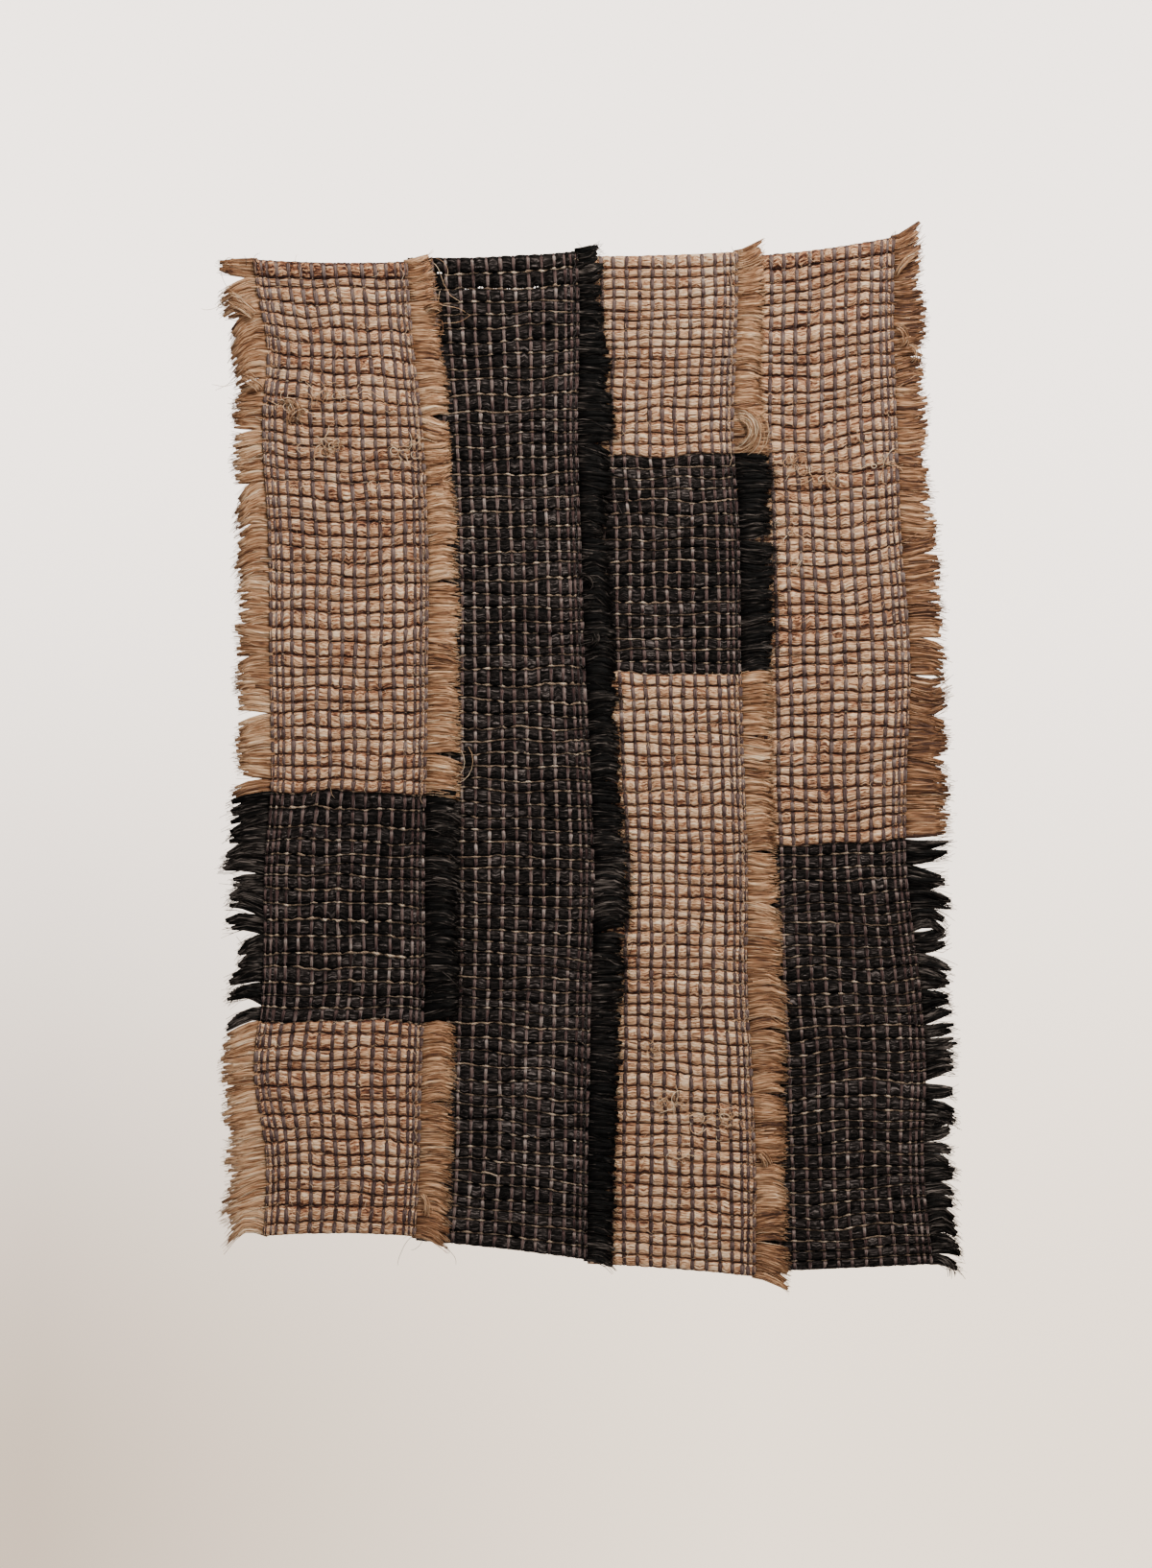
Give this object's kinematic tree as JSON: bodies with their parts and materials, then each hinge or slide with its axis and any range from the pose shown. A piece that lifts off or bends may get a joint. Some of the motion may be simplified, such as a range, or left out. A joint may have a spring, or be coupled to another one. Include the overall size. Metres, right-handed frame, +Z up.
{
  "type": "banana fibre wall hanging",
  "caption": "Wall hanging of hand-woven banana fibre strips sewn side by side, in natural and black blocks, with cut weft fringes along the selvedges.",
  "frame": {"origin": "middle of the top edge, on the wall plane behind the cloth", "axes": "+Z up the cloth's length, +Y into the wall, so the front faces -Y, +X to the right seen from the front"},
  "size_m": [0.4982, 0.0234, 0.6968],
  "materials": {
    "natural_fibre": "undyed banana fibre bundles, soft sheen along the fibre",
    "black_fibre": "banana fibre dyed black, soft sheen along the fibre",
    "warp_yarn": "doubled dull purple-brown spun yarn, matt",
    "binding_weft": "thin tan thread, matt"
  },
  "bodies": {
    "root": {"strip_1": "natural_fibre", "strip_2": "black_fibre", "strip_3": "natural_fibre", "strip_4": "natural_fibre", "fringe_1_left": "natural_fibre", "fringe_1_right": "natural_fibre", "fringe_2_left": "black_fibre", "fringe_2_right": "black_fibre", "fringe_3_left": "natural_fibre", "fringe_3_right": "natural_fibre", "fringe_4_left": "natural_fibre", "fringe_4_right": "natural_fibre"}
  },
  "joints": []
}
